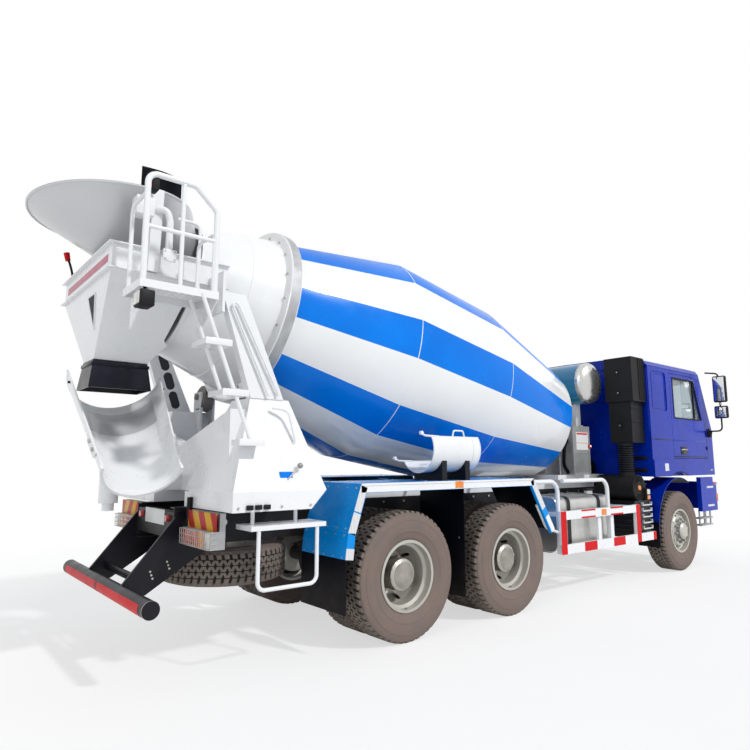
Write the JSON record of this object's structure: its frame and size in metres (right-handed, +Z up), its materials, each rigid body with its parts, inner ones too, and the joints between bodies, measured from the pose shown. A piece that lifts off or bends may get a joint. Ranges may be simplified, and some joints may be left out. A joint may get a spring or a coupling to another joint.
{
  "type": "concrete mixer truck",
  "caption": "Full-size concrete mixer truck with tilting cab, turning drum on rollers, feed hopper, collector, swinging chute, ladder and driven rear axles.",
  "frame": {"origin": "on the ground under the middle of the whole vehicle's box", "axes": "+X forward, +Y to the driver's left, +Z up"},
  "size_m": [9.335, 3.07, 3.7144],
  "materials": {
    "tyre": "matte",
    "rim_paint": "satin",
    "black_paint": "satin",
    "white_paint": "gloss",
    "bare_metal": "satin",
    "drum_paint": "gloss",
    "cab_paint": "gloss",
    "fender_paint": "gloss",
    "guard_paint": "gloss",
    "lamp_plastic": "gloss",
    "grey_plastic": "matte",
    "rubber": "matte",
    "glass": "gloss"
  },
  "bodies": {
    "chassis": {"frame_rails": "black_paint", "leaf_springs": "black_paint", "front_axle": "black_paint", "rear_axles": "black_paint", "engine": "black_paint", "subframe": "white_paint", "drum_drive": "white_paint", "rear_support": "white_paint", "collector": "white_paint", "collector_boot": "rubber", "feed_hopper": "bare_metal", "ladder_and_platform": "white_paint", "rear_fenders": "fender_paint", "side_guards": "guard_paint", "spare_tyre": "tyre", "spare_rim": "rim_paint", "underrun_bar": "black_paint", "tail_lamps": "lamp_plastic", "extension_chute": "white_paint", "fuel_tank": "bare_metal", "air_tanks": "bare_metal", "battery_box": "black_paint", "air_filter": "black_paint", "oil_cooler": "black_paint", "water_tank": "bare_metal", "front_mudguards": "black_paint", "rubber_flaps": "rubber", "front_bumper": "cab_paint"},
    "cab": {"cab_tub": "cab_paint", "cab_side_walls": "cab_paint", "cab_front": "cab_paint", "windscreen": "glass", "cab_roof": "cab_paint", "cab_interior": "grey_plastic", "mirrors_and_visor": "black_paint", "air_duct": "black_paint"},
    "door_right": {"door_right": "cab_paint", "door_glass_right": "glass"},
    "door_left": {"door_left": "cab_paint", "door_glass_left": "glass"},
    "knuckle_right": {"knuckle_right": "black_paint"},
    "knuckle_left": {"knuckle_left": "black_paint"},
    "front_wheel_right": {"front_tyre_right": "tyre", "front_rim_right": "rim_paint"},
    "front_wheel_left": {"front_tyre_left": "tyre", "front_rim_left": "rim_paint"},
    "middle_wheels_right": {"middle_tyres_right": "tyre", "middle_rims_right": "rim_paint"},
    "middle_wheels_left": {"middle_tyres_left": "tyre", "middle_rims_left": "rim_paint"},
    "rear_wheels_right": {"rear_tyres_right": "tyre", "rear_rims_right": "rim_paint"},
    "rear_wheels_left": {"rear_tyres_left": "tyre", "rear_rims_left": "rim_paint"},
    "drum": {"drum": "drum_paint"},
    "roller_right": {"roller_right": "black_paint"},
    "roller_left": {"roller_left": "black_paint"},
    "chute_arm": {"chute_arm": "white_paint"},
    "chute": {"chute": "white_paint"}
  },
  "joints": [
    {"name": "steer_left", "type": "hinge", "parent": "chassis", "child": "knuckle_left", "pos_m": [3.4175, 0.87, 0.542], "axis": [0, 0, 1], "range_deg": [-35, 35]},
    {"name": "steer_right", "type": "hinge", "parent": "chassis", "child": "knuckle_right", "pos_m": [3.4175, -0.87, 0.542], "axis": [0, 0, 1], "range_deg": [-35, 35]},
    {"name": "spin_front_left", "type": "hinge", "parent": "knuckle_left", "child": "front_wheel_left", "pos_m": [3.4175, 1.053, 0.542], "axis": [0, 1, 0], "continuous": true},
    {"name": "spin_front_right", "type": "hinge", "parent": "knuckle_right", "child": "front_wheel_right", "pos_m": [3.4175, -1.053, 0.542], "axis": [0, 1, 0], "continuous": true},
    {"name": "spin_middle_left", "type": "hinge", "parent": "chassis", "child": "middle_wheels_left", "pos_m": [-0.4025, 0.905, 0.542], "axis": [0, 1, 0], "continuous": true},
    {"name": "spin_middle_right", "type": "hinge", "parent": "chassis", "child": "middle_wheels_right", "pos_m": [-0.4025, -0.905, 0.542], "axis": [0, 1, 0], "continuous": true},
    {"name": "spin_rear_left", "type": "hinge", "parent": "chassis", "child": "rear_wheels_left", "pos_m": [-1.8025, 0.905, 0.542], "axis": [0, 1, 0], "continuous": true},
    {"name": "spin_rear_right", "type": "hinge", "parent": "chassis", "child": "rear_wheels_right", "pos_m": [-1.8025, -0.905, 0.542], "axis": [0, 1, 0], "continuous": true},
    {"name": "drum_spin", "type": "hinge", "parent": "chassis", "child": "drum", "pos_m": [1.4465, 0, 2.053], "axis": [-0.9814, 0, 0.192], "continuous": true},
    {"name": "roller_right_spin", "type": "hinge", "parent": "chassis", "child": "roller_right", "pos_m": [-2.89969, -0.59738, 2.12422], "axis": [-0.9814, 0, 0.192], "continuous": true},
    {"name": "roller_left_spin", "type": "hinge", "parent": "chassis", "child": "roller_left", "pos_m": [-2.89969, 0.59738, 2.12422], "axis": [-0.9814, 0, 0.192], "continuous": true},
    {"name": "cab_tilt", "type": "hinge", "parent": "chassis", "child": "cab", "pos_m": [4.4675, 0, 1], "axis": [0, 1, 0], "range_deg": [0, 50]},
    {"name": "door_right_swing", "type": "hinge", "parent": "cab", "child": "door_right", "pos_m": [4.3925, -1.225, 2], "axis": [0, 0, 1], "range_deg": [0, 70]},
    {"name": "door_left_swing", "type": "hinge", "parent": "cab", "child": "door_left", "pos_m": [4.3925, 1.225, 2], "axis": [0, 0, -1], "range_deg": [0, 70]},
    {"name": "chute_swing", "type": "hinge", "parent": "chassis", "child": "chute_arm", "pos_m": [-3.9285, 0, 1.3], "axis": [0, 0, 1], "range_deg": [-180, 0]},
    {"name": "chute_tilt", "type": "hinge", "parent": "chute_arm", "child": "chute", "pos_m": [-3.9285, -0.20797, 1.5313], "axis": [-1, 0, 0], "range_deg": [0, 25]}
  ],
  "couplings": [
    {"joint": "steer_right", "follows": "steer_left", "ratio": 1},
    {"joint": "roller_right_spin", "follows": "drum_spin", "ratio": -6.76},
    {"joint": "roller_left_spin", "follows": "drum_spin", "ratio": -6.76}
  ]
}
